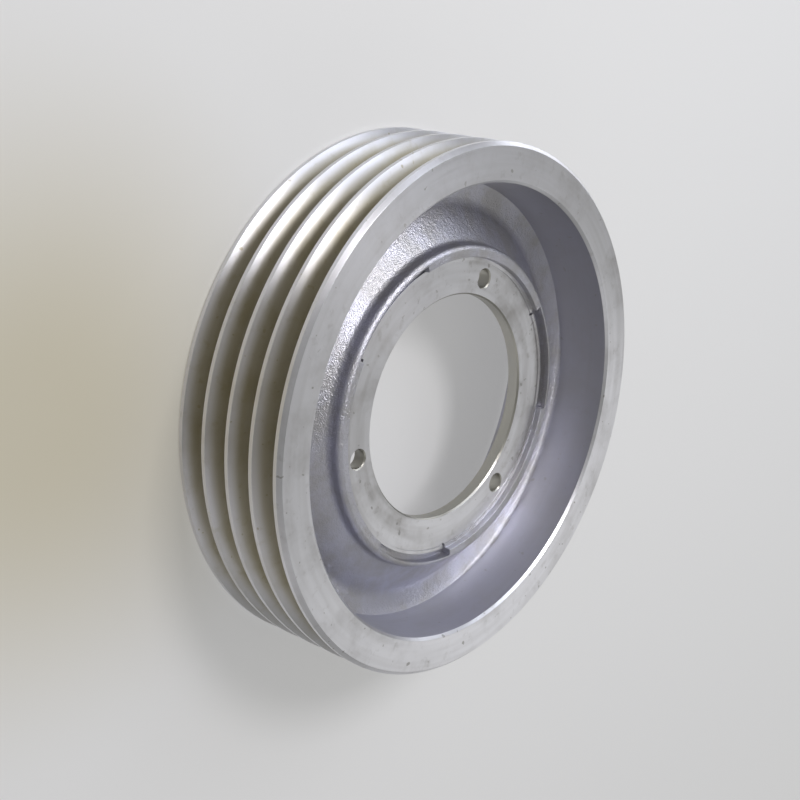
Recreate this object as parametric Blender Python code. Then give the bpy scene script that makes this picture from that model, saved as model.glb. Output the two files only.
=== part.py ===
"""V-belt pulley: one aluminium casting with four turned grooves, a dished web and a flanged hub.

The wheel lies on its back end. +Z is its axis and points out of the dished front, and the
origin is the centre of the back end. Radii are measured from the axis and heights from the
back end, in metres.
"""
import math

import bmesh
import bpy

NODE = "pulley"

# Facets: round the axis, round a bolt hole, along a pocket and along each rounded corner
WHEEL_STEPS = 72
HOLE_STEPS = 20
POCKET_STEPS = 12
ARC_STEPS = 6
CORNER_STEPS = 3

# Tread: V grooves side by side, with a narrow land between neighbours
OUTER_RADIUS = 0.165
GROOVE_COUNT = 4
GROOVE_PITCH = 0.019
GROOVE_ANGLE = math.radians(38.0)
GROOVE_FLOOR = 0.0045
LAND_WIDTH = 0.0027
FRONT_LAND = 0.00485
BACK_LAND = 0.00335
FRONT_CHAMFER = 0.0024
BACK_CHAMFER = 0.0010

# Rim: the metal under the grooves, its inner walls and their mouths
RIM_WALL = 0.0089
WALL_DRAFT = math.radians(3.4)
MOUTH_CHAMFER = 0.0016

# Web: a cone that leaves the boss and runs down and outward to the rim
WEB_TILT = math.radians(35.0)
WEB_THICKNESS = 0.0085
WEB_ROOT_FILLET = 0.0050
RIM_FILLET = 0.0140
RIM_FILLET_END = math.radians(43.0)
BACK_FILLET = 0.0050

# Hub: from the bore outward the turned face, a low ledge, the recess wall and the cast boss
BORE_RADIUS = 0.0710
BORE_CHAMFER = 0.0010
HUB_FACE_WIDTH = 0.0209
LEDGE_WIDTH = 0.0024
LEDGE_STEP = 0.0007
BOSS_SETBACK = 0.0173
BOSS_HEIGHT = 0.0085
BOSS_FILLET = 0.0036
RECESS_DEPTH = 0.0039
RECESS_DRAFT = math.radians(3.0)
FLANGE_THICKNESS = 0.0090

# Bolt holes and arc pockets, in turn round the hub
BOLT_COUNT = 3
BOLT_RADIUS = 0.0059
BOLT_INSET = 0.01135
BOLT_CHAMFER = 0.0007
FIRST_BOLT = math.radians(30.0)
POCKET_SPAN = math.radians(43.5)
POCKET_WIDTH = 0.0039
POCKET_RIM = 0.0038
POCKET_SINK = 0.0028
CUT_OVERLAP = 0.0003

# Tread and rim, worked out from the sizes above
GROOVE_WIDTH = GROOVE_PITCH - LAND_WIDTH
GROOVE_DEPTH = (GROOVE_WIDTH - GROOVE_FLOOR) / 2 / math.tan(GROOVE_ANGLE / 2)
TREAD_WIDTH = GROOVE_COUNT * GROOVE_WIDTH + (GROOVE_COUNT - 1) * LAND_WIDTH
WIDTH = FRONT_LAND + TREAD_WIDTH + BACK_LAND
WALL_FOOT_RADIUS = OUTER_RADIUS - GROOVE_DEPTH - RIM_WALL

# Hub radii and heights, worked out from the sizes above
HUB_FACE_RADIUS = BORE_RADIUS + HUB_FACE_WIDTH
RECESS_RADIUS = HUB_FACE_RADIUS + LEDGE_WIDTH
POCKET_RADIUS = RECESS_RADIUS + POCKET_WIDTH
BOSS_RADIUS = POCKET_RADIUS + POCKET_RIM
BOLT_CIRCLE_RADIUS = BORE_RADIUS + BOLT_INSET
BOSS_TOP = WIDTH - BOSS_SETBACK
LEDGE_TOP = BOSS_TOP - RECESS_DEPTH
HUB_FACE = LEDGE_TOP - LEDGE_STEP
POCKET_FLOOR = LEDGE_TOP - POCKET_SINK
FLANGE_BACK = HUB_FACE - FLANGE_THICKNESS
WEB_ROOT = BOSS_TOP - BOSS_HEIGHT


def clear_scene():
    """Remove the objects that are already in the scene."""
    for old in list(bpy.data.objects):
        bpy.data.objects.remove(old, do_unlink=True)


def casting_material():
    """Bare aluminium, cast and partly turned."""
    material = bpy.data.materials.new("cast_aluminium")
    material.use_nodes = True
    shader = material.node_tree.nodes["Principled BSDF"]
    shader.inputs["Base Color"].default_value = (0.66, 0.66, 0.65, 1.0)
    shader.inputs["Metallic"].default_value = 1.0
    shader.inputs["Roughness"].default_value = 0.38
    return material


def arc(centre, radius, start, end, steps):
    """Points of an arc in the radius and height plane, its angles measured from outward to up."""
    angles = [start + (end - start) * i / steps for i in range(steps + 1)]
    return [(centre[0] + radius * math.cos(a), centre[1] + radius * math.sin(a)) for a in angles]


def rounded(before, corner, after, radius):
    """Points that round a corner, with the radius limited by the shorter wall beside it."""
    back = (before[0] - corner[0], before[1] - corner[1])
    ahead = (after[0] - corner[0], after[1] - corner[1])
    back_angle = math.atan2(back[1], back[0])
    ahead_angle = math.atan2(ahead[1], ahead[0])
    half = math.remainder(ahead_angle - back_angle, math.tau) / 2
    shorter_wall = min(math.hypot(*back), math.hypot(*ahead))
    reach = min(radius / math.tan(abs(half)), 0.48 * shorter_wall)
    fitted = reach * math.tan(abs(half))
    middle = back_angle + half
    distance = math.hypot(reach, fitted)
    centre = (corner[0] + distance * math.cos(middle), corner[1] + distance * math.sin(middle))
    sweep = math.copysign(math.pi / 2 - abs(half), half)
    facing = middle + math.pi
    return arc(centre, fitted, facing + sweep, facing - sweep, CORNER_STEPS)


def tread_profile():
    """Outer side from the front end down to the back end."""
    points = [(OUTER_RADIUS - FRONT_CHAMFER, WIDTH), (OUTER_RADIUS, WIDTH - FRONT_CHAMFER)]
    for number in range(GROOVE_COUNT):
        middle = WIDTH - FRONT_LAND - GROOVE_WIDTH / 2 - number * GROOVE_PITCH
        points.append((OUTER_RADIUS, middle + GROOVE_WIDTH / 2))
        points.append((OUTER_RADIUS - GROOVE_DEPTH, middle + GROOVE_FLOOR / 2))
        points.append((OUTER_RADIUS - GROOVE_DEPTH, middle - GROOVE_FLOOR / 2))
        points.append((OUTER_RADIUS, middle - GROOVE_WIDTH / 2))
    points.append((OUTER_RADIUS, BACK_CHAMFER))
    points.append((OUTER_RADIUS - BACK_CHAMFER, 0.0))
    return points


def rim_fillet():
    """Radius and centre of the hollow fillet between the web's front and the rim's wall."""
    room = WALL_FOOT_RADIUS - BOSS_RADIUS
    radius = min(RIM_FILLET, 0.8 * room / (math.sin(RIM_FILLET_END) + math.sin(WEB_TILT)))
    centre_radius = WALL_FOOT_RADIUS - radius * math.sin(RIM_FILLET_END)
    web_run = centre_radius - radius * math.sin(WEB_TILT) - BOSS_RADIUS
    centre_height = WEB_ROOT - web_run * math.tan(WEB_TILT) + radius * math.cos(WEB_TILT)
    return radius, (centre_radius, centre_height)


def wall_mouth(foot_height, end_height, inward):
    """Chamfered mouth of a drafted inner wall: the point on the end and the point on the wall."""
    run = abs(end_height - foot_height)
    radius = WALL_FOOT_RADIUS + run * math.tan(WALL_DRAFT)
    edge = radius - MOUTH_CHAMFER * math.tan(WALL_DRAFT)
    return (radius + MOUTH_CHAMFER, end_height), (edge, end_height + inward * MOUTH_CHAMFER)


def back_profile():
    """Hidden side from the back end in to the bore, with the web as thick as at the front."""
    radius, centre = rim_fillet()
    outer = radius + WEB_THICKNESS
    floor = centre[1] - outer
    on_end, on_wall = wall_mouth(floor, 0.0, 1)
    foot = (WALL_FOOT_RADIUS, floor)
    bend = arc(centre, outer, -math.pi / 2, -math.pi / 2 - WEB_TILT, ARC_STEPS)
    web_end = bend[-1]
    hub_corner = (web_end[0] - (FLANGE_BACK - web_end[1]) / math.tan(WEB_TILT), FLANGE_BACK)
    bore_edge = (BORE_RADIUS + BORE_CHAMFER, FLANGE_BACK)
    points = [on_end, on_wall]
    points += rounded(on_wall, foot, bend[0], BACK_FILLET)
    points += bend
    points += rounded(web_end, hub_corner, bore_edge, BACK_FILLET)
    points += [bore_edge, (BORE_RADIUS, FLANGE_BACK + BORE_CHAMFER)]
    return points


def hub_profile():
    """Front of the hub from the bore out to the root of the web."""
    recess_top_radius = RECESS_RADIUS + RECESS_DEPTH * math.tan(RECESS_DRAFT)
    recess_edge = (recess_top_radius, BOSS_TOP)
    boss_corner = (BOSS_RADIUS, BOSS_TOP)
    root = (BOSS_RADIUS, WEB_ROOT)
    web_end = front_bend()[0]
    points = [(BORE_RADIUS, HUB_FACE - BORE_CHAMFER), (BORE_RADIUS + BORE_CHAMFER, HUB_FACE)]
    points += [(HUB_FACE_RADIUS, HUB_FACE), (HUB_FACE_RADIUS, LEDGE_TOP)]
    points += [(RECESS_RADIUS, LEDGE_TOP), recess_edge]
    points += rounded(recess_edge, boss_corner, root, BOSS_FILLET)
    points += rounded(boss_corner, root, web_end, WEB_ROOT_FILLET)
    return points


def front_bend():
    """Hollow fillet from the end of the web's cone out to the foot of the rim's turned wall."""
    radius, centre = rim_fillet()
    start = -math.pi / 2 - WEB_TILT
    end = -math.pi / 2 + RIM_FILLET_END
    return arc(centre, radius, start, end, ARC_STEPS)


def rim_wall_profile():
    """Rim's front from the fillet up the turned wall to its chamfered mouth."""
    bend = front_bend()
    on_end, on_wall = wall_mouth(bend[-1][1], WIDTH, -1)
    return bend + [on_wall, on_end]


def turned_wheel(name):
    """Spin the closed profile round the axis."""
    profile = tread_profile() + back_profile() + hub_profile() + rim_wall_profile()
    shape = bmesh.new()
    corners = [shape.verts.new((radius, 0.0, height)) for radius, height in profile]
    edges = [shape.edges.new(pair) for pair in zip(corners, corners[1:] + corners[:1])]
    bmesh.ops.spin(
        shape, geom=corners + edges, cent=(0, 0, 0), axis=(0, 0, 1),
        angle=math.tau, steps=WHEEL_STEPS, use_merge=True,
    )
    bmesh.ops.recalc_face_normals(shape, faces=shape.faces)
    mesh = bpy.data.meshes.new(name)
    shape.to_mesh(mesh)
    shape.free()
    mesh.shade_smooth()
    mesh.set_sharp_from_angle(angle=math.radians(25.0))
    return add_object(name, mesh)


def add_object(name, mesh):
    """Link a new object that shows the mesh."""
    made = bpy.data.objects.new(name, mesh)
    bpy.context.scene.collection.objects.link(made)
    return made


def cutter(name, sections):
    """Closed solid through sections of equally many points, the lowest first."""
    shape = bmesh.new()
    rings = [[shape.verts.new(point) for point in section] for section in sections]
    shape.faces.new(reversed(rings[0]))
    shape.faces.new(rings[-1])
    for lower, upper in zip(rings, rings[1:]):
        for i, point in enumerate(lower):
            j = (i + 1) % len(lower)
            shape.faces.new((point, lower[j], upper[j], upper[i]))
    mesh = bpy.data.meshes.new(name)
    shape.to_mesh(mesh)
    shape.free()
    made = add_object(name, mesh)
    made.hide_render = True
    made.display_type = "WIRE"
    return made


def bolt_cutter(number):
    """Drill for one bolt hole, widening into the chamfer at the hub's face."""
    angle = FIRST_BOLT + number * math.tau / BOLT_COUNT
    centre_x = BOLT_CIRCLE_RADIUS * math.cos(angle)
    centre_y = BOLT_CIRCLE_RADIUS * math.sin(angle)

    def ring(radius, height):
        turns = [i * math.tau / HOLE_STEPS for i in range(HOLE_STEPS)]
        return [
            (centre_x + radius * math.cos(a), centre_y + radius * math.sin(a), height)
            for a in turns
        ]

    sections = [
        ring(BOLT_RADIUS, FLANGE_BACK - BOLT_CHAMFER),
        ring(BOLT_RADIUS, HUB_FACE - BOLT_CHAMFER),
        ring(BOLT_RADIUS + 2 * BOLT_CHAMFER, HUB_FACE + BOLT_CHAMFER),
    ]
    return cutter(f"bolt_cutter_{number}", sections)


def pocket_cutter(number):
    """Curved slot midway between two bolt holes, between the ledge and the boss's rim."""
    middle = FIRST_BOLT + (number + 0.5) * math.tau / BOLT_COUNT
    start = middle - POCKET_SPAN / 2
    angles = [start + POCKET_SPAN * i / POCKET_STEPS for i in range(POCKET_STEPS + 1)]
    inner_radius = RECESS_RADIUS - CUT_OVERLAP

    def section(height):
        outer = [(POCKET_RADIUS * math.cos(a), POCKET_RADIUS * math.sin(a), height) for a in angles]
        inner = [(inner_radius * math.cos(a), inner_radius * math.sin(a), height) for a in angles]
        return outer + inner[::-1]

    return cutter(f"pocket_cutter_{number}", [section(POCKET_FLOOR), section(BOSS_TOP + RECESS_DEPTH)])


def build_pulley():
    """The whole casting: the turned wheel with its bolt holes and pockets cut."""
    pulley = turned_wheel(NODE)
    pulley.data.materials.append(casting_material())
    for number in range(BOLT_COUNT):
        for tool in (bolt_cutter(number), pocket_cutter(number)):
            cut = pulley.modifiers.new(tool.name, "BOOLEAN")
            cut.operation = "DIFFERENCE"
            cut.solver = "EXACT"
            cut.object = tool


clear_scene()
build_pulley()
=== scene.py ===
"""The finished look of a cast and turned V-belt pulley, with its floor, lamps and camera.

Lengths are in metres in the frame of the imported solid: the wheel lies on its back end, its
axis is +Z and the origin is the centre of the back end.
"""

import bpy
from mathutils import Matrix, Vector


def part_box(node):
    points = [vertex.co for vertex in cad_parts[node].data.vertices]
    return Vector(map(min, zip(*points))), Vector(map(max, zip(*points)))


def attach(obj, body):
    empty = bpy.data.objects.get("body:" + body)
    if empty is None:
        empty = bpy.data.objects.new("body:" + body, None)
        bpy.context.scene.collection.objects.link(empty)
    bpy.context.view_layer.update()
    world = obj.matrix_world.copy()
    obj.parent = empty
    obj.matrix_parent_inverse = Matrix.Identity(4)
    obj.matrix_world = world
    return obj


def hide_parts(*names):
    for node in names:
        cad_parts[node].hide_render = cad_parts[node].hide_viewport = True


bl_info = {
    "name": "V-belt pulley",
    "version": (1, 0, 0),
    "blender": (4, 5, 0),
    "location": "View3D > Sidebar > Pulley",
    "description": "Builds a turned aluminium V-belt pulley and its studio",
    "category": "Add Mesh",
}

import math

import bmesh
import bpy
from bpy.props import FloatProperty, FloatVectorProperty, IntProperty, PointerProperty
from mathutils import Matrix, Vector, noise

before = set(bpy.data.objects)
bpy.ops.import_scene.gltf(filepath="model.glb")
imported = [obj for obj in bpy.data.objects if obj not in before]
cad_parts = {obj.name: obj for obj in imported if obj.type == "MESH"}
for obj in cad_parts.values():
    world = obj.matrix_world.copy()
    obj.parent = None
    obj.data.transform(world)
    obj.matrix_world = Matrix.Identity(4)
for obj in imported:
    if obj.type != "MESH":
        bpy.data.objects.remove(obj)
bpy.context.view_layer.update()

BODY = "root"
NODE = "pulley"
NODE_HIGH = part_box(NODE)[1]

# Finishes, by their places among the wheel's materials
TREAD, END, WALL, FACE, BORE, CAST = range(6)

# Steps round the wheel, round a bolt hole and along a pocket, and of a small rounded edge
WHEEL_STEPS = 384
HOLE_STEPS = 64
POCKET_STEPS = 40
EDGE_STEPS = 3

# How far a pocket's cutter reaches past the recess, and the bend at which shading breaks
CUT_OVERLAP = 0.0003
SHARP_EDGE = math.radians(38.0)

# What the lathe left: fine marks and broad bands, measured along the profile, and their height
MARK_PITCH = 0.0009
BAND_PITCH = 0.0060
MARK_HEIGHT = 0.00001

# Noise on the metal, by how many of its features fit in a metre
HAND_PATCHES = 34.0
SMUDGES = 120.0
SPECKS = 210.0
CAST_MOTTLE = 45.0
CAST_SWELLS = 55.0
SAND_LUMPS = 420.0
SAND_GRAINS = 1250.0

# The wheel as the camera sees it: its axis swings to the right and dips, and the wheel is
# spun on it; the centre of its front end lies right of, below and ahead of the camera
AXIS_SWING = math.radians(50.07)
AXIS_DIP = math.radians(13.06)
WHEEL_SPIN = math.radians(83.3)
FACE_RIGHT = 0.0465
FACE_BELOW = 0.0097
FACE_AHEAD = 0.8350

# Lamps as (name, direction in the camera's right, up and back, size, watts, colour)
LAMP_DISTANCE = 1.4
LAMPS = (
    ("key_softbox", (0.65, 0.34, 0.68), 0.45, 8.0, (1.0, 0.98, 1.0)),
    ("low_fill", (0.46, -0.10, 0.88), 0.80, 0.3, (1.0, 0.98, 1.0)),
    ("window", (0.80, 0.52, 0.30), 0.85, 4.4, (0.86, 0.90, 1.0)),
    ("table_fill", (0.28, -0.82, 0.44), 1.00, 1.0, (1.0, 0.98, 1.0)),
    ("back_panel", (0.82, -0.38, -0.42), 0.90, 1.55, (1.0, 1.0, 1.0)),
    ("top_panel", (0.68, 0.55, -0.48), 0.70, 3.4, (0.88, 0.91, 1.0)),
)

# The paper floor, half its side and how far it lies under the wheel, with a painted pool of warm lamp light
# on it
FLOOR_HALF = 6.0
FLOOR_GAP = 0.0002
WARM_PLACE = (-0.08, -0.25, 0.0)
WARM_FROM = 0.02
WARM_TO = 0.22


class PulleyWheel(bpy.types.PropertyGroup):
    """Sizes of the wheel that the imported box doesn't give."""

    groove_count: IntProperty(name="Grooves", description="Belt grooves side by side", default=4, min=1)
    groove_pitch: FloatProperty(
        name="Groove pitch", description="From one groove's middle to the next",
        default=0.019, unit="LENGTH",
    )
    groove_angle: FloatProperty(
        name="Groove angle", description="Between a groove's flanks",
        default=math.radians(38.0), subtype="ANGLE",
    )
    groove_floor: FloatProperty(
        name="Groove floor", description="Width of a groove's flat floor", default=0.0045, unit="LENGTH",
    )
    land_width: FloatProperty(
        name="Land", description="Flat top between two grooves", default=0.0027, unit="LENGTH",
    )
    front_land: FloatProperty(
        name="Front land", description="From the front end to the first groove",
        default=0.00485, unit="LENGTH",
    )
    front_chamfer: FloatProperty(
        name="Front chamfer", description="Outer edge of the front end", default=0.0024, unit="LENGTH",
    )
    back_chamfer: FloatProperty(
        name="Back chamfer", description="Outer edge of the back end", default=0.0010, unit="LENGTH",
    )
    rim_wall: FloatProperty(
        name="Rim wall", description="Metal between a groove and the foot of the inner wall",
        default=0.0089, unit="LENGTH",
    )
    wall_draft: FloatProperty(
        name="Wall draft", description="Slope of the rim's inner walls",
        default=math.radians(3.4), subtype="ANGLE",
    )
    mouth_chamfer: FloatProperty(
        name="Mouth chamfer", description="Inner edges of the rim's ends",
        default=0.0016, unit="LENGTH",
    )
    web_tilt: FloatProperty(
        name="Web tilt", description="Slope of the web's cone",
        default=math.radians(35.0), subtype="ANGLE",
    )
    web_thickness: FloatProperty(
        name="Web thickness", description="Through the web's cone", default=0.0085, unit="LENGTH",
    )
    web_root_fillet: FloatProperty(
        name="Web root fillet", description="Where the web leaves the boss", default=0.0050, unit="LENGTH",
    )
    rim_fillet: FloatProperty(
        name="Rim fillet", description="Where the web meets the rim", default=0.0140, unit="LENGTH",
    )
    rim_fillet_end: FloatProperty(
        name="Rim fillet end", description="Slope of the fillet where the turned wall cuts it",
        default=math.radians(43.0), subtype="ANGLE",
    )
    band_radius: FloatProperty(
        name="Band radius", description="Flatter stretch of the fillet beside the turned wall",
        default=0.0390, unit="LENGTH",
    )
    band_start: FloatProperty(
        name="Band start", description="Slope where the flatter stretch begins",
        default=math.radians(10.0), subtype="ANGLE",
    )
    band_end: FloatProperty(
        name="Band end", description="Slope where the wall cuts the flatter stretch",
        default=math.radians(26.0), subtype="ANGLE",
    )
    nose_radius: FloatProperty(
        name="Nose radius", description="Largest radius of the tool's corner between wall and fillet",
        default=0.0040, unit="LENGTH",
    )
    soft_place: FloatProperty(
        name="Soft place", description="Middle of the stretch with that radius, round the axis",
        default=math.radians(48.0), subtype="ANGLE",
    )
    soft_reach: FloatProperty(
        name="Soft reach", description="From there to where the edge is sharp again",
        default=math.radians(52.0), subtype="ANGLE",
    )
    back_fillet: FloatProperty(
        name="Back fillets", description="Rounded corners of the hidden side",
        default=0.0050, unit="LENGTH",
    )
    bore_radius: FloatProperty(
        name="Bore radius", description="Radius of the hub's bore", default=0.0710, unit="LENGTH",
    )
    bore_chamfer: FloatProperty(
        name="Bore chamfer", description="Edges of the bore", default=0.0010, unit="LENGTH",
    )
    face_width: FloatProperty(
        name="Hub face", description="Width of the hub's turned face", default=0.0209, unit="LENGTH",
    )
    ledge_width: FloatProperty(
        name="Ledge width", description="Ledge round the hub's face", default=0.0024, unit="LENGTH",
    )
    ledge_step: FloatProperty(
        name="Ledge step", description="Height of the ledge above the face", default=0.0007, unit="LENGTH",
    )
    boss_setback: FloatProperty(
        name="Boss setback", description="From the front end to the boss", default=0.0173, unit="LENGTH",
    )
    boss_height: FloatProperty(
        name="Boss height", description="From the web's root to the boss", default=0.0085, unit="LENGTH",
    )
    boss_fillet: FloatProperty(
        name="Boss fillet", description="Rounded edge of the boss", default=0.0036, unit="LENGTH",
    )
    recess_depth: FloatProperty(
        name="Recess depth", description="From the boss to the ledge", default=0.0039, unit="LENGTH",
    )
    recess_draft: FloatProperty(
        name="Recess draft", description="Slope of the recess's wall",
        default=math.radians(3.0), subtype="ANGLE",
    )
    flange_thickness: FloatProperty(
        name="Flange thickness", description="Through the hub at its face", default=0.0090, unit="LENGTH",
    )
    bolt_count: IntProperty(name="Bolt holes", description="Holes through the hub", default=3, min=1)
    bolt_radius: FloatProperty(
        name="Bolt hole radius", description="Radius of a bolt hole", default=0.0059, unit="LENGTH",
    )
    bolt_inset: FloatProperty(
        name="Bolt hole inset", description="From the bore's wall to a bolt hole's axis",
        default=0.01135, unit="LENGTH",
    )
    bolt_chamfer: FloatProperty(
        name="Bolt hole chamfer", description="Edge of a bolt hole", default=0.0007, unit="LENGTH",
    )
    first_bolt: FloatProperty(
        name="First bolt hole", description="Its place round the axis",
        default=math.radians(30.0), subtype="ANGLE",
    )
    pocket_span: FloatProperty(
        name="Pocket span", description="Length of a pocket round the axis",
        default=math.radians(43.5), subtype="ANGLE",
    )
    pocket_width: FloatProperty(
        name="Pocket width", description="From the ledge to a pocket's outer wall",
        default=0.0039, unit="LENGTH",
    )
    pocket_rim: FloatProperty(
        name="Pocket rim", description="Metal outside a pocket", default=0.0038, unit="LENGTH",
    )
    pocket_sink: FloatProperty(
        name="Pocket sink", description="From the ledge to a pocket's floor", default=0.0028, unit="LENGTH",
    )
    notch_width: FloatProperty(
        name="Notch width", description="Small slot in the ledge at a pocket's end",
        default=0.0018, unit="LENGTH",
    )
    notch_headroom: FloatProperty(
        name="Notch headroom", description="From the boss down to a notch's top",
        default=0.0010, unit="LENGTH",
    )
    edge_break: FloatProperty(
        name="Edge break", description="Radius of the deburred turned edges",
        default=0.00022, unit="LENGTH",
    )
    cast_edge: FloatProperty(
        name="Cast edge", description="Radius of the small edges left by the sand",
        default=0.0005, unit="LENGTH",
    )
    cast_waviness: FloatProperty(
        name="Cast waviness", description="Unevenness of the surfaces left as cast",
        default=0.00012, unit="LENGTH",
    )


class PulleyFinish(bpy.types.PropertyGroup):
    """Colours of the metal's finishes."""

    # Painted shade: the bore and bolt holes get a darker olive colour that stands in for the dark
    # surroundings the bore mirrors
    bore_metal_and_shade: FloatVectorProperty(
        name="Bored metal", description="Duller metal of the bore and the bolt holes", subtype="COLOR",
        size=3, default=(0.50, 0.49, 0.44), min=0.0, max=1.0,
    )
    turned: FloatVectorProperty(
        name="Turned metal", description="Bare aluminium fresh from the lathe", subtype="COLOR", size=3,
        default=(0.80, 0.80, 0.84), min=0.0, max=1.0,
    )
    # Hub face: the same turned metal as the front end, given a darker colour
    hub: FloatVectorProperty(
        name="Hub metal", description="Turned face of the hub, dulled by handling", subtype="COLOR", size=3,
        default=(0.70, 0.70, 0.73), min=0.0, max=1.0,
    )
    # Tread colour for its stains and for painted shade deep in the grooves, browner as a painted reflection
    # of warm surroundings
    groove: FloatVectorProperty(
        name="Groove film", description="Brownish film deep in the grooves", subtype="COLOR", size=3,
        default=(0.50, 0.46, 0.34), min=0.0, max=1.0,
    )
    # Inner wall: the same turned metal as the front end, given a darker and bluer colour
    wall: FloatVectorProperty(
        name="Wall metal", description="Inner wall of the rim, turned long before", subtype="COLOR", size=3,
        default=(0.59, 0.59, 0.65), min=0.0, max=1.0,
    )
    cast: FloatVectorProperty(
        name="Cast metal", description="Aluminium skin left by the mould", subtype="COLOR", size=3,
        default=(0.61, 0.61, 0.68), min=0.0, max=1.0,
    )
    stain: FloatVectorProperty(
        name="Stain", description="Thin grey film on handled metal", subtype="COLOR", size=3,
        default=(0.50, 0.49, 0.49), min=0.0, max=1.0,
    )


class PulleyStudio(bpy.types.PropertyGroup):
    """Floor, lamps and camera."""

    floor_color: FloatVectorProperty(
        name="Floor", description="Pale paper under the wheel", subtype="COLOR", size=3,
        default=(0.80, 0.80, 0.80), min=0.0, max=1.0,
    )
    # Painted lamp light: colour of the warm pool on the paper
    warm_color: FloatVectorProperty(
        name="Warm side", description="The paper where the room's lamps tint it", subtype="COLOR", size=3,
        default=(0.60, 0.56, 0.45), min=0.0, max=1.0,
    )
    floor_glow: FloatProperty(
        name="Floor glow", description="Share of the paper's own light that the camera sees", default=0.36,
    )
    room_color: FloatVectorProperty(
        name="Room", description="Even light of the room", subtype="COLOR", size=3,
        default=(0.26, 0.26, 0.25), min=0.0, max=1.0,
    )
    lens: FloatProperty(name="Lens", description="Focal length in millimetres", default=61.84)
    sensor: FloatProperty(name="Sensor", description="Width of the sensor in millimetres", default=36.0)


def arc(centre, radius, start, end, steps):
    """Points of an arc in the radius and height plane, its angles measured from outward to up."""
    angles = [start + (end - start) * i / steps for i in range(steps + 1)]
    return [(centre[0] + radius * math.cos(a), centre[1] + radius * math.sin(a)) for a in angles]


def arc_point(centre, radius, slope):
    """Point of an arc under its centre, where the arc slopes up by this angle."""
    return centre[0] + radius * math.sin(slope), centre[1] - radius * math.cos(slope)


def rounded(before, corner, after, radius, steps):
    """Points that round a corner, with the radius limited by the shorter wall beside it."""
    back = (before[0] - corner[0], before[1] - corner[1])
    ahead = (after[0] - corner[0], after[1] - corner[1])
    back_angle = math.atan2(back[1], back[0])
    ahead_angle = math.atan2(ahead[1], ahead[0])
    half = math.remainder(ahead_angle - back_angle, math.tau) / 2
    shorter_wall = min(math.hypot(*back), math.hypot(*ahead))
    reach = min(radius / math.tan(abs(half)), 0.45 * shorter_wall)
    fitted = reach * math.tan(abs(half))
    middle = back_angle + half
    distance = math.hypot(reach, fitted)
    centre = (corner[0] + distance * math.cos(middle), corner[1] + distance * math.sin(middle))
    sweep = math.copysign(math.pi / 2 - abs(half), half)
    facing = middle + math.pi
    return arc(centre, fitted, facing + sweep, facing - sweep, steps)


class Form:
    """Radii and heights worked out from the wheel's sizes."""

    def __init__(self, size):
        self.size = size
        self.outer_radius = round(NODE_HIGH.x, 5)
        self.width = NODE_HIGH.z
        self.groove_width = size.groove_pitch - size.land_width
        self.groove_depth = (self.groove_width - size.groove_floor) / 2 / math.tan(size.groove_angle / 2)
        self.wall_foot = self.outer_radius - self.groove_depth - size.rim_wall
        self.face_radius = size.bore_radius + size.face_width
        self.recess_radius = self.face_radius + size.ledge_width
        self.pocket_radius = self.recess_radius + size.pocket_width
        self.boss_radius = self.pocket_radius + size.pocket_rim
        self.bolt_circle = size.bore_radius + size.bolt_inset
        self.boss_top = self.width - size.boss_setback
        self.ledge_top = self.boss_top - size.recess_depth
        self.face = self.ledge_top - size.ledge_step
        self.pocket_floor = self.ledge_top - size.pocket_sink
        self.flange_back = self.face - size.flange_thickness
        self.web_root = self.boss_top - size.boss_height
        tilt = size.web_tilt
        cut_radius = self.wall_foot - size.rim_fillet * math.sin(size.rim_fillet_end)
        cone_height = self.web_root - (cut_radius - self.boss_radius) * math.tan(tilt)
        self.fillet_centre = (cut_radius, cone_height + size.rim_fillet / math.cos(tilt))
        self.wall_start = arc_point(self.fillet_centre, size.rim_fillet, size.rim_fillet_end)[1]
        # In front, a flatter band and a tighter valley end where that one fillet would
        self.band_centre = arc_point((self.wall_foot, self.wall_start), -size.band_radius, size.band_end)
        turn = math.cos(tilt + size.band_start)
        rise = size.rim_fillet * (1 - math.cos(tilt + size.rim_fillet_end))
        band_rise = size.band_radius * (turn - math.cos(tilt + size.band_end))
        self.valley_radius = (rise - band_rise) / (1 - turn)
        apart = size.band_radius - self.valley_radius
        self.valley_centre = arc_point(self.band_centre, apart, size.band_start)


def outline(corners):
    """Profile points and the finish of the stretch after each, from (point, radius, steps, finish)."""
    points = []
    finishes = []
    for i, (corner, radius, steps, finish) in enumerate(corners):
        if radius:
            before = corners[i - 1][0]
            after = corners[(i + 1) % len(corners)][0]
            added = rounded(before, corner, after, radius, steps)
        else:
            added = [corner]
        points += added
        finishes += [finish] * len(added)
    return points, finishes


def tread_corners(form):
    """Outer side from the front end down to the back end."""
    size = form.size
    edge = size.edge_break
    outer = form.outer_radius
    floor = outer - form.groove_depth
    corners = [
        ((outer - size.front_chamfer, form.width), edge, EDGE_STEPS, END),
        ((outer, form.width - size.front_chamfer), edge, EDGE_STEPS, TREAD),
    ]
    for number in range(size.groove_count):
        middle = form.width - size.front_land - form.groove_width / 2 - number * size.groove_pitch
        corners += [
            ((outer, middle + form.groove_width / 2), edge, EDGE_STEPS, TREAD),
            ((floor, middle + size.groove_floor / 2), 2 * edge, EDGE_STEPS, TREAD),
            ((floor, middle - size.groove_floor / 2), 2 * edge, EDGE_STEPS, TREAD),
            ((outer, middle - form.groove_width / 2), edge, EDGE_STEPS, TREAD),
        ]
    corners += [
        ((outer, size.back_chamfer), edge, EDGE_STEPS, END),
        ((outer - size.back_chamfer, 0.0), edge, EDGE_STEPS, END),
    ]
    return corners


def mouth_corners(form, foot_height, end_height, inward):
    """Chamfered mouth of a drafted inner wall, on the end and on the wall."""
    size = form.size
    slope = math.tan(size.wall_draft)
    radius = form.wall_foot + abs(end_height - foot_height) * slope
    on_end = (radius + size.mouth_chamfer, end_height)
    on_wall = (radius - size.mouth_chamfer * slope, end_height + inward * size.mouth_chamfer)
    return on_end, on_wall


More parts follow.
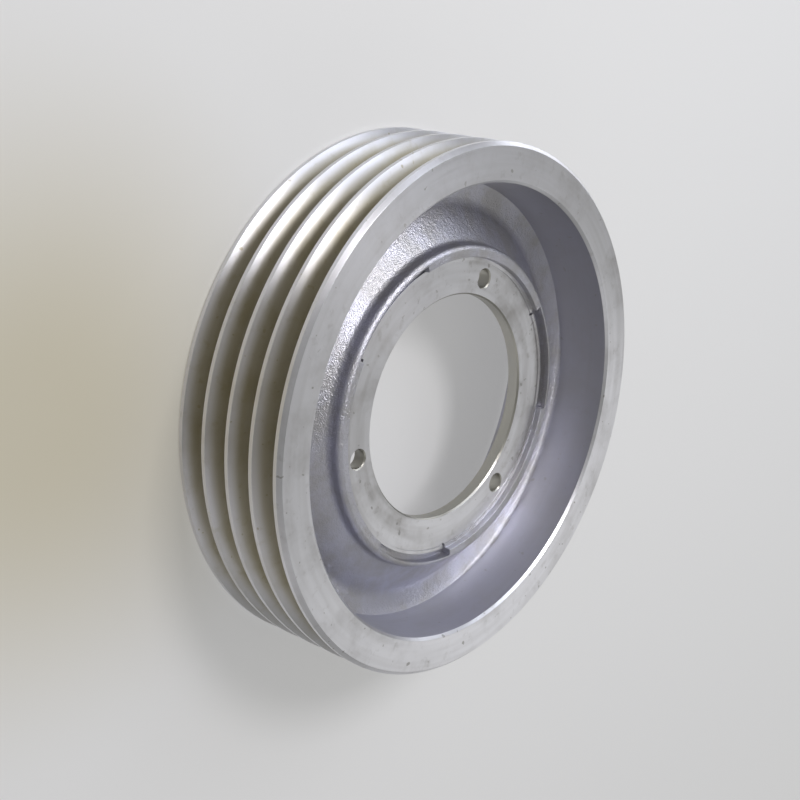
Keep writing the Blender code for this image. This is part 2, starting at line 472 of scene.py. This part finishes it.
def back_corners(form):
    """Hidden side from the back end in to the bore."""
    size = form.size
    edge = size.edge_break
    outer = size.rim_fillet + size.web_thickness
    floor = form.fillet_centre[1] - outer
    on_end, on_wall = mouth_corners(form, floor, 0.0, 1)
    bend = arc(form.fillet_centre, outer, -math.pi / 2, -math.pi / 2 - size.web_tilt, 16)
    web_end = bend[-1]
    hub_radius = web_end[0] - (form.flange_back - web_end[1]) / math.tan(size.web_tilt)
    corners = [
        (on_end, edge, EDGE_STEPS, END),
        (on_wall, edge, EDGE_STEPS, CAST),
        ((form.wall_foot, floor), size.back_fillet, 10, CAST),
    ]
    corners += [(point, 0.0, 0, CAST) for point in bend]
    corners += [
        ((hub_radius, form.flange_back), size.back_fillet, 8, FACE),
        ((size.bore_radius + size.bore_chamfer, form.flange_back), edge, EDGE_STEPS, BORE),
        ((size.bore_radius, form.flange_back + size.bore_chamfer), edge, EDGE_STEPS, BORE),
    ]
    return corners


def hub_corners(form):
    """Front of the hub from the bore out to the root of the web."""
    size = form.size
    edge = size.edge_break
    recess_top = form.recess_radius + size.recess_depth * math.tan(size.recess_draft)
    return [
        ((size.bore_radius, form.face - size.bore_chamfer), edge, EDGE_STEPS, BORE),
        ((size.bore_radius + size.bore_chamfer, form.face), edge, EDGE_STEPS, FACE),
        ((form.face_radius, form.face), edge / 2, 2, FACE),
        ((form.face_radius, form.ledge_top), edge, 2, FACE),
        ((form.recess_radius, form.ledge_top), size.cast_edge, 4, CAST),
        ((recess_top, form.boss_top), size.cast_edge, 4, CAST),
        ((form.boss_radius, form.boss_top), size.boss_fillet, 10, CAST),
        ((form.boss_radius, form.web_root), size.web_root_fillet, 10, CAST),
    ]


def nose_radius(size, angle):
    """Radius between the rim fillet and the wall at this angle round the axis."""
    away = abs(math.remainder(angle - size.soft_place, math.tau))
    share = min(max(2 * (1 - away / size.soft_reach), 0.0), 1.0)
    return size.edge_break + (size.nose_radius - size.edge_break) * share * share * (3 - 2 * share)


def rim_corners(form, nose):
    """Rim's front from the end of the web's cone up the turned wall to its mouth."""
    size = form.size
    edge = size.edge_break
    band = size.band_radius
    draft = size.wall_draft
    meeting = math.asin((band * math.sin(size.band_end + draft) - nose) / (band - nose)) - draft
    down = -math.pi / 2
    valley = arc(form.valley_centre, form.valley_radius, down - size.web_tilt, down + size.band_start, 16)
    rise = arc(form.band_centre, band, down + size.band_start, down + meeting, 8)
    nose_centre = arc_point(form.band_centre, band - nose, meeting)
    turn = arc(nose_centre, nose, down + meeting, -draft, 12)
    on_end, on_wall = mouth_corners(form, form.wall_start, form.width, -1)
    corners = [(point, 0.0, 0, CAST) for point in valley[:-1] + rise[:-1] + turn[:-1]]
    corners += [(turn[-1], 0.0, 0, WALL), (on_wall, edge, EDGE_STEPS, END), (on_end, edge, EDGE_STEPS, END)]
    return corners


def turned_mesh(name, form):
    """Turn the profile round the axis, each stretch with its finish."""
    fixed = tread_corners(form) + back_corners(form) + hub_corners(form)
    shape = bmesh.new()
    rings = []
    for step in range(WHEEL_STEPS):
        angle = math.tau * step / WHEEL_STEPS
        cos, sin = math.cos(angle), math.sin(angle)
        points, finishes = outline(fixed + rim_corners(form, nose_radius(form.size, angle)))
        rings.append([shape.verts.new((r * cos, r * sin, z)) for r, z in points])
    for step, ring in enumerate(rings):
        following = rings[(step + 1) % WHEEL_STEPS]
        for i, finish in enumerate(finishes):
            j = (i + 1) % len(ring)
            made = shape.faces.new((ring[i], ring[j], following[j], following[i]))
            made.material_index = finish
            made.smooth = True
    bmesh.ops.recalc_face_normals(shape, faces=shape.faces)
    make_wavy(shape, form.size.cast_waviness)
    mesh = bpy.data.meshes.new(name)
    shape.to_mesh(mesh)
    shape.free()
    return mesh


def make_wavy(shape, height):
    """Move the points that only cast faces meet a little in or out, as the sand left them."""
    shape.normal_update()
    for point in shape.verts:
        if all(face.material_index == CAST for face in point.link_faces):
            place = point.co * CAST_SWELLS
            swell = noise.noise(place) + 0.5 * noise.noise(place * 2.3)
            point.co += point.normal * height * swell


def add_object(name, mesh):
    """Link a new object that shows the mesh."""
    made = bpy.data.objects.new(name, mesh)
    bpy.context.scene.collection.objects.link(made)
    return made


def cutter(name, sections, finish):
    """Closed solid through sections of equally many points, the lowest first."""
    shape = bmesh.new()
    rings = [[shape.verts.new(point) for point in section] for section in sections]
    shape.faces.new(reversed(rings[0]))
    shape.faces.new(rings[-1])
    for lower, upper in zip(rings, rings[1:]):
        for i, point in enumerate(lower):
            j = (i + 1) % len(lower)
            shape.faces.new((point, lower[j], upper[j], upper[i]))
    for face in shape.faces:
        face.material_index = finish
    mesh = bpy.data.meshes.new(name)
    shape.to_mesh(mesh)
    shape.free()
    return add_object(name, mesh)


def bolt_cutter(form, number):
    """Drill for one bolt hole, widening into its chamfer."""
    size = form.size
    angle = size.first_bolt + number * math.tau / size.bolt_count
    centre = (form.bolt_circle * math.cos(angle), form.bolt_circle * math.sin(angle))

    def ring(radius, height):
        turns = [i * math.tau / HOLE_STEPS for i in range(HOLE_STEPS)]
        return [(centre[0] + radius * math.cos(a), centre[1] + radius * math.sin(a), height) for a in turns]

    chamfer = size.bolt_chamfer
    sections = [
        ring(size.bolt_radius + 2 * chamfer, form.flange_back - chamfer),
        ring(size.bolt_radius, form.flange_back + chamfer),
        ring(size.bolt_radius, form.face - chamfer),
        ring(size.bolt_radius + 2 * chamfer, form.face + chamfer),
    ]
    return cutter(f"bolt_cutter_{number}", sections, BORE)


def pocket_cutter(form, number):
    """Curved slot midway between two bolt holes, with a rounded upper edge."""
    size = form.size
    middle = size.first_bolt + (number + 0.5) * math.tau / size.bolt_count
    inner_radius = form.recess_radius - CUT_OVERLAP

    def section(height, outset):
        half = size.pocket_span / 2 + outset / form.pocket_radius
        angles = [middle - half + 2 * half * i / POCKET_STEPS for i in range(POCKET_STEPS + 1)]
        outer_radius = form.pocket_radius + outset
        outer = [(outer_radius * math.cos(a), outer_radius * math.sin(a), height) for a in angles]
        inner = [(inner_radius * math.cos(a), inner_radius * math.sin(a), height) for a in angles]
        return outer + inner[::-1]

    lip = size.cast_edge
    sections = [
        section(form.pocket_floor, 0.0),
        section(form.boss_top - lip, 0.0),
        section(form.boss_top - 0.3 * lip, 0.3 * lip),
        section(form.boss_top, lip),
        section(form.boss_top + lip, 2 * lip),
    ]
    return cutter(f"pocket_cutter_{number}", sections, CAST)


def notch_cutter(form, number):
    """Small radial slot through the ledge, at one end of a pocket."""
    size = form.size
    middle = size.first_bolt + (number + 0.5) * math.tau / size.bolt_count
    angle = middle + size.pocket_span / 2 - size.notch_width / form.recess_radius
    outward = Vector((math.cos(angle), math.sin(angle), 0.0))
    along = Vector((-outward.y, outward.x, 0.0)) * size.notch_width / 2
    near = outward * (form.face_radius - size.notch_width / 2)
    far = outward * (form.recess_radius + size.notch_width / 2)

    def section(height):
        return [(*point.xy, height) for point in (near - along, far - along, far + along, near + along)]

    sections = [section(form.pocket_floor), section(form.boss_top - size.notch_headroom)]
    return cutter(f"notch_cutter_{number}", sections, CAST)


def cut(wheel, tools):
    """Cut the tools out of the wheel and throw them away."""
    for tool in tools:
        boolean = wheel.modifiers.new(tool.name, "BOOLEAN")
        boolean.operation = "DIFFERENCE"
        boolean.solver = "EXACT"
        boolean.material_mode = "INDEX"
        boolean.object = tool
    bpy.context.view_layer.update()
    evaluated = wheel.evaluated_get(bpy.context.evaluated_depsgraph_get())
    finished = bpy.data.meshes.new_from_object(evaluated)
    if not finished.polygons:
        raise RuntimeError("the holes and pockets can't be cut from the wheel")
    wheel.modifiers.clear()
    wheel.data = finished
    for tool in tools:
        bpy.data.objects.remove(tool, do_unlink=True)


class Finish:
    """Node tree of one metal finish, with short ways to add and join its nodes."""

    def __init__(self, name, roughness, anisotropy=0.0):
        self.material = bpy.data.materials.new(name)
        self.material.use_nodes = True
        self.nodes = self.material.node_tree.nodes
        self.links = self.material.node_tree.links
        self.shader = self.nodes["Principled BSDF"]
        self.shader.inputs["Metallic"].default_value = 1.0
        self.shader.inputs["Roughness"].default_value = roughness
        self.place = self.nodes.new("ShaderNodeTexCoord").outputs["Object"]
        split = self.nodes.new("ShaderNodeSeparateXYZ")
        self.join(self.place, split.inputs[0])
        self.x, self.y, self.height = split.outputs
        squares = self.math("ADD", self.math("POWER", self.x, 2.0), self.math("POWER", self.y, 2.0))
        self.radius = self.math("SQRT", squares)
        if anisotropy:
            self.shader.inputs["Anisotropic"].default_value = anisotropy
            self.shader.inputs["Anisotropic Rotation"].default_value = 0.25
            tangent = self.nodes.new("ShaderNodeTangent")
            tangent.direction_type = "RADIAL"
            tangent.axis = "Z"
            self.join(tangent.outputs["Tangent"], self.shader.inputs["Tangent"])

    def join(self, value, socket):
        """Feed a socket from another node's output, or set it."""
        if isinstance(value, bpy.types.NodeSocket):
            self.links.new(value, socket)
        else:
            socket.default_value = value

    def math(self, operation, first, second=0.0):
        """Work out a value from one or two others."""
        node = self.nodes.new("ShaderNodeMath")
        node.operation = operation
        self.join(first, node.inputs[0])
        self.join(second, node.inputs[1])
        return node.outputs[0]

    def noise(self, place, scale, detail, roughness=0.5):
        """Even noise from 0 to 1 with features 1/scale metres wide."""
        node = self.nodes.new("ShaderNodeTexNoise")
        self.join(place, node.inputs["Vector"])
        node.inputs["Scale"].default_value = scale
        node.inputs["Detail"].default_value = detail
        node.inputs["Roughness"].default_value = roughness
        return node.outputs["Fac"]

    def rings(self, pitch, sweep, detail=2.0):
        """Noise drawn out round the axis: pitch wide across, and sweep patches round the wheel."""
        turn = self.nodes.new("ShaderNodeCombineXYZ")
        self.join(self.math("MULTIPLY", self.radius, 1 / pitch), turn.inputs[0])
        self.join(self.math("MULTIPLY", self.math("DIVIDE", self.x, self.radius), sweep), turn.inputs[1])
        self.join(self.math("MULTIPLY", self.math("DIVIDE", self.y, self.radius), sweep), turn.inputs[2])
        node = self.nodes.new("ShaderNodeTexNoise")
        node.noise_dimensions = "4D"
        self.join(turn.outputs[0], node.inputs["Vector"])
        self.join(self.math("MULTIPLY", self.height, 1 / pitch), node.inputs["W"])
        node.inputs["Scale"].default_value = 1.0
        node.inputs["Detail"].default_value = detail
        return node.outputs["Fac"]

    def spread(self, value, low, high, from_value, to_value):
        """Take a value's range from low to high smoothly onto another range."""
        node = self.nodes.new("ShaderNodeMapRange")
        node.interpolation_type = "SMOOTHSTEP"
        self.join(value, node.inputs["Value"])
        node.inputs["From Min"].default_value = low
        node.inputs["From Max"].default_value = high
        node.inputs["To Min"].default_value = from_value
        node.inputs["To Max"].default_value = to_value
        return node.outputs["Result"]

    def mix(self, share, first, second):
        """Blend two colours by a share."""
        node = self.nodes.new("ShaderNodeMix")
        node.data_type = "RGBA"
        colors = [socket for socket in node.inputs if socket.type == "RGBA"]
        self.join(share, node.inputs[0])
        self.join(first, colors[0])
        self.join(second, colors[1])
        return next(socket for socket in node.outputs if socket.type == "RGBA")

    def raise_by(self, height, depth, under=None):
        """Bump of a height from 0 to 1 that stands depth metres proud, over another bump."""
        node = self.nodes.new("ShaderNodeBump")
        node.inputs["Distance"].default_value = depth
        self.join(height, node.inputs["Height"])
        if under is not None:
            self.join(under, node.inputs["Normal"])
        return node.outputs["Normal"]


def turned_metal(name, fresh, stained, roughness, anisotropy, stain, depth=None):
    """Metal from the lathe: rings of tool marks, with a thin uneven film where it was handled.

    Stain is the film's strength. Where depth is given, painted shade also darkens the colour from the outer
    to the inner radius of depth.
    """
    finish = Finish(name, roughness, anisotropy)
    shader = finish.shader
    fine = finish.rings(MARK_PITCH, 3.0, 3.0)
    broad = finish.rings(BAND_PITCH, 1.6)
    patches = finish.noise(finish.place, HAND_PATCHES, 4.0, 0.62)
    smudges = finish.noise(finish.place, SMUDGES, 3.0, 0.6)
    film = finish.spread(patches, 0.42, 0.75, 0.0, 0.45)
    film = finish.math("ADD", film, finish.spread(smudges, 0.58, 0.74, 0.0, 0.30))
    specks = finish.noise(finish.place, SPECKS, 1.0)
    film = finish.math("ADD", film, finish.spread(specks, 0.72, 0.78, 0.0, 1.2))
    film = finish.math("MULTIPLY", film, stain)
    film = finish.math("ADD", film, finish.spread(broad, 0.35, 0.70, 0.0, 0.25 * stain))
    # Painted shade: darker and browner deeper in the grooves, where the flanks shade and mirror each other
    if depth:
        outer, inner = depth
        film = finish.math("ADD", film, finish.spread(finish.radius, inner, outer, 0.75, 0.0))
    finish.join(finish.mix(film, (*fresh, 1.0), (*stained, 1.0)), shader.inputs["Base Color"])
    streaks = finish.spread(fine, 0.30, 0.70, roughness - 0.03, roughness + 0.03)
    dull = finish.math("ADD", streaks, finish.math("MULTIPLY", film, 0.12))
    finish.join(dull, shader.inputs["Roughness"])
    finish.join(finish.raise_by(fine, MARK_HEIGHT), shader.inputs["Normal"])
    return finish.material


def sand_cast_metal(name, skin, stained, roughness, grain):
    """Skin that the sand mould left: fine grain, small pits and a dull mottle."""
    finish = Finish(name, roughness)
    shader = finish.shader
    mottle = finish.noise(finish.place, CAST_MOTTLE, 4.0, 0.6)
    sand = finish.noise(finish.place, SAND_GRAINS, 2.0, 0.6)
    lumps = finish.noise(finish.place, SAND_LUMPS, 1.0, 0.5)
    film = finish.spread(mottle, 0.38, 0.66, 0.0, 0.8)
    film = finish.math("ADD", film, finish.spread(sand, 0.55, 0.75, 0.0, 0.35))
    finish.join(finish.mix(film, (*skin, 1.0), (*stained, 1.0)), shader.inputs["Base Color"])
    dull = finish.spread(mottle, 0.30, 0.70, roughness - 0.04, roughness + 0.06)
    finish.join(dull, shader.inputs["Roughness"])
    low = finish.raise_by(lumps, 0.7 * grain)
    finish.join(finish.raise_by(sand, grain, low), shader.inputs["Normal"])
    return finish.material


class PULLEY_OT_wheel(bpy.types.Operator):
    """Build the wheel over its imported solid"""

    bl_idname = "pulley.wheel"
    bl_label = "Wheel"

    def execute(self, context):
        form = Form(context.scene.pulley_wheel)
        finish = context.scene.pulley_finish
        wheel = add_object("wheel", turned_mesh("wheel", form))
        # Radii between which painted shade darkens the tread's grooves
        depth = (form.outer_radius - 0.001, form.outer_radius - 0.45 * form.groove_depth)
        materials = [
            turned_metal("turned_tread", finish.turned, finish.groove, 0.33, 0.85, 0.5, depth),
            turned_metal("turned_end", finish.turned, finish.stain, 0.34, 0.60, 1.0),
            turned_metal("turned_wall", finish.wall, finish.stain, 0.36, 0.60, 0.5),
            turned_metal("turned_face", finish.hub, finish.stain, 0.34, 0.60, 1.7),
            turned_metal("bore_metal_and_shade", finish.bore_metal_and_shade, finish.stain, 0.33, 0.70, 0.5),
            sand_cast_metal("sand_cast", finish.cast, finish.stain, 0.32, 0.00042),
        ]
        for material in materials:
            wheel.data.materials.append(material)
        tools = [bolt_cutter(form, n) for n in range(form.size.bolt_count)]
        tools += [pocket_cutter(form, n) for n in range(form.size.bolt_count)]
        tools += [notch_cutter(form, n) for n in range(form.size.bolt_count)]
        cut(wheel, tools)
        wheel.data.shade_smooth()
        wheel.data.set_sharp_from_angle(angle=SHARP_EDGE)
        normals = wheel.modifiers.new("even_normals", "WEIGHTED_NORMAL")
        normals.weight = 100
        normals.keep_sharp = True
        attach(wheel, BODY)
        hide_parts(NODE)
        return {"FINISHED"}


def view_axes():
    """Columns that turn directions in the camera's right, up and back into the wheel's frame."""
    swing, dip = AXIS_SWING, AXIS_DIP
    axis = Vector((math.sin(swing) * math.cos(dip), -math.sin(dip), math.cos(swing) * math.cos(dip)))
    across = (Vector((1, 0, 0)) - axis.x * axis).normalized()
    upward = axis.cross(across)
    wheel_x = across * math.cos(WHEEL_SPIN) - upward * math.sin(WHEEL_SPIN)
    wheel_y = axis.cross(wheel_x)
    return Matrix((wheel_x, wheel_y, axis))


def from_view(right, up, back):
    """Point in the wheel's frame, measured from the front end's centre along the view's axes."""
    return view_axes() @ Vector((right, up, back)) + Vector((0.0, 0.0, NODE_HIGH.z))


def add_camera(studio):
    """Camera at the photo's place before the wheel, turned with it onto its side."""
    lens = bpy.data.cameras.new("camera")
    lens.lens = studio.lens
    lens.sensor_width = studio.sensor
    lens.clip_start = 0.01
    camera = bpy.data.objects.new("camera", lens)
    bpy.context.scene.collection.objects.link(camera)
    place = view_axes().to_4x4()
    place.translation = from_view(-FACE_RIGHT, FACE_BELOW, FACE_AHEAD)
    camera.matrix_world = place
    bpy.context.scene.camera = camera


def add_softbox(name, direction, size, watts, color):
    """Square soft lamp that faces the wheel's front."""
    lamp = bpy.data.lights.new(name, "AREA")
    lamp.shape = "SQUARE"
    lamp.size = size
    lamp.energy = watts
    lamp.color = color
    made = bpy.data.objects.new(name, lamp)
    bpy.context.scene.collection.objects.link(made)
    way = Vector(direction).normalized()
    made.location = from_view(*(way * LAMP_DISTANCE))
    made.rotation_mode = "QUATERNION"
    made.rotation_quaternion = (view_axes() @ way).to_track_quat("Z", "Y")


def floor_material(studio):
    """Pale paper with a painted pool of warm lamp light on one side, that stays pale to the camera and
    still takes shadows.
    """
    material = bpy.data.materials.new("pale_paper")
    material.use_nodes = True
    nodes = material.node_tree.nodes
    links = material.node_tree.links
    nodes.clear()
    output = nodes.new("ShaderNodeOutputMaterial")
    blend = nodes.new("ShaderNodeMixShader")
    paper = nodes.new("ShaderNodeBsdfDiffuse")
    glow = nodes.new("ShaderNodeEmission")
    path = nodes.new("ShaderNodeLightPath")
    place = nodes.new("ShaderNodeTexCoord").outputs["Object"]
    away = nodes.new("ShaderNodeVectorMath")
    away.operation = "DISTANCE"
    away.inputs[1].default_value = WARM_PLACE
    links.new(place, away.inputs[0])
    # Painted pool of warm lamp light round WARM_PLACE, fading out between WARM_FROM and WARM_TO
    tint = nodes.new("ShaderNodeMapRange")
    tint.interpolation_type = "SMOOTHSTEP"
    tint.inputs["From Min"].default_value = WARM_FROM
    tint.inputs["From Max"].default_value = WARM_TO
    tint.inputs["To Min"].default_value = 1.0
    tint.inputs["To Max"].default_value = 0.0
    links.new(away.outputs["Value"], tint.inputs["Value"])
    color = nodes.new("ShaderNodeMix")
    color.data_type = "RGBA"
    plain, warm = [socket for socket in color.inputs if socket.type == "RGBA"]
    plain.default_value = (*studio.floor_color, 1.0)
    warm.default_value = (*studio.warm_color, 1.0)
    links.new(tint.outputs["Result"], color.inputs[0])
    tinted = next(socket for socket in color.outputs if socket.type == "RGBA")
    links.new(tinted, paper.inputs["Color"])
    links.new(tinted, glow.inputs["Color"])
    seen = path.outputs["Is Camera Ray"]
    for ray in ("Is Glossy Ray", "Is Transmission Ray"):
        either = nodes.new("ShaderNodeMath")
        either.operation = "MAXIMUM"
        links.new(seen, either.inputs[0])
        links.new(path.outputs[ray], either.inputs[1])
        seen = either.outputs[0]
    share = nodes.new("ShaderNodeMath")
    share.operation = "MULTIPLY"
    share.inputs[1].default_value = studio.floor_glow
    links.new(seen, share.inputs[0])
    links.new(share.outputs[0], blend.inputs["Fac"])
    links.new(paper.outputs["BSDF"], blend.inputs[1])
    links.new(glow.outputs["Emission"], blend.inputs[2])
    links.new(blend.outputs["Shader"], output.inputs["Surface"])
    return material


class PULLEY_OT_studio(bpy.types.Operator):
    """Lay the floor and set the lamps and the camera"""

    bl_idname = "pulley.studio"
    bl_label = "Studio"

    def execute(self, context):
        studio = context.scene.pulley_studio
        mesh = bpy.data.meshes.new("floor")
        turns = ((-1, -1), (1, -1), (1, 1), (-1, 1))
        corners = [(x * FLOOR_HALF, y * FLOOR_HALF, -FLOOR_GAP) for x, y in turns]
        mesh.from_pydata(corners, [], [(0, 1, 2, 3)])
        floor = add_object("floor", mesh)
        floor.data.materials.append(floor_material(studio))
        for lamp in LAMPS:
            add_softbox(*lamp)
        world = bpy.data.worlds.new("room")
        world.use_nodes = True
        world.node_tree.nodes["Background"].inputs["Color"].default_value = (*studio.room_color, 1.0)
        context.scene.world = world
        context.scene.view_settings.view_transform = "Standard"
        add_camera(studio)
        return {"FINISHED"}


class PULLEY_PT_sidebar(bpy.types.Panel):
    """Operators and sizes in the sidebar"""

    bl_label = "Pulley"
    bl_idname = "PULLEY_PT_sidebar"
    bl_space_type = "VIEW_3D"
    bl_region_type = "UI"
    bl_category = "Pulley"

    def draw(self, context):
        layout = self.layout
        for operator in OPERATORS:
            layout.operator(operator.bl_idname)
        for group in ("pulley_wheel", "pulley_finish", "pulley_studio"):
            settings = getattr(context.scene, group)
            for name in settings.__annotations__:
                layout.prop(settings, name)


OPERATORS = (PULLEY_OT_wheel, PULLEY_OT_studio)
CLASSES = (PulleyWheel, PulleyFinish, PulleyStudio, *OPERATORS, PULLEY_PT_sidebar)


def register():
    """Make the classes and their settings known to Blender."""
    for each in CLASSES:
        bpy.utils.register_class(each)
    bpy.types.Scene.pulley_wheel = PointerProperty(type=PulleyWheel)
    bpy.types.Scene.pulley_finish = PointerProperty(type=PulleyFinish)
    bpy.types.Scene.pulley_studio = PointerProperty(type=PulleyStudio)


def unregister():
    """Take the classes and settings out again."""
    del bpy.types.Scene.pulley_wheel
    del bpy.types.Scene.pulley_finish
    del bpy.types.Scene.pulley_studio
    for each in reversed(CLASSES):
        bpy.utils.unregister_class(each)


def main():
    """Build the wheel and its studio."""
    register()
    bpy.ops.pulley.wheel()
    bpy.ops.pulley.studio()


if __name__ == "__main__":
    main()
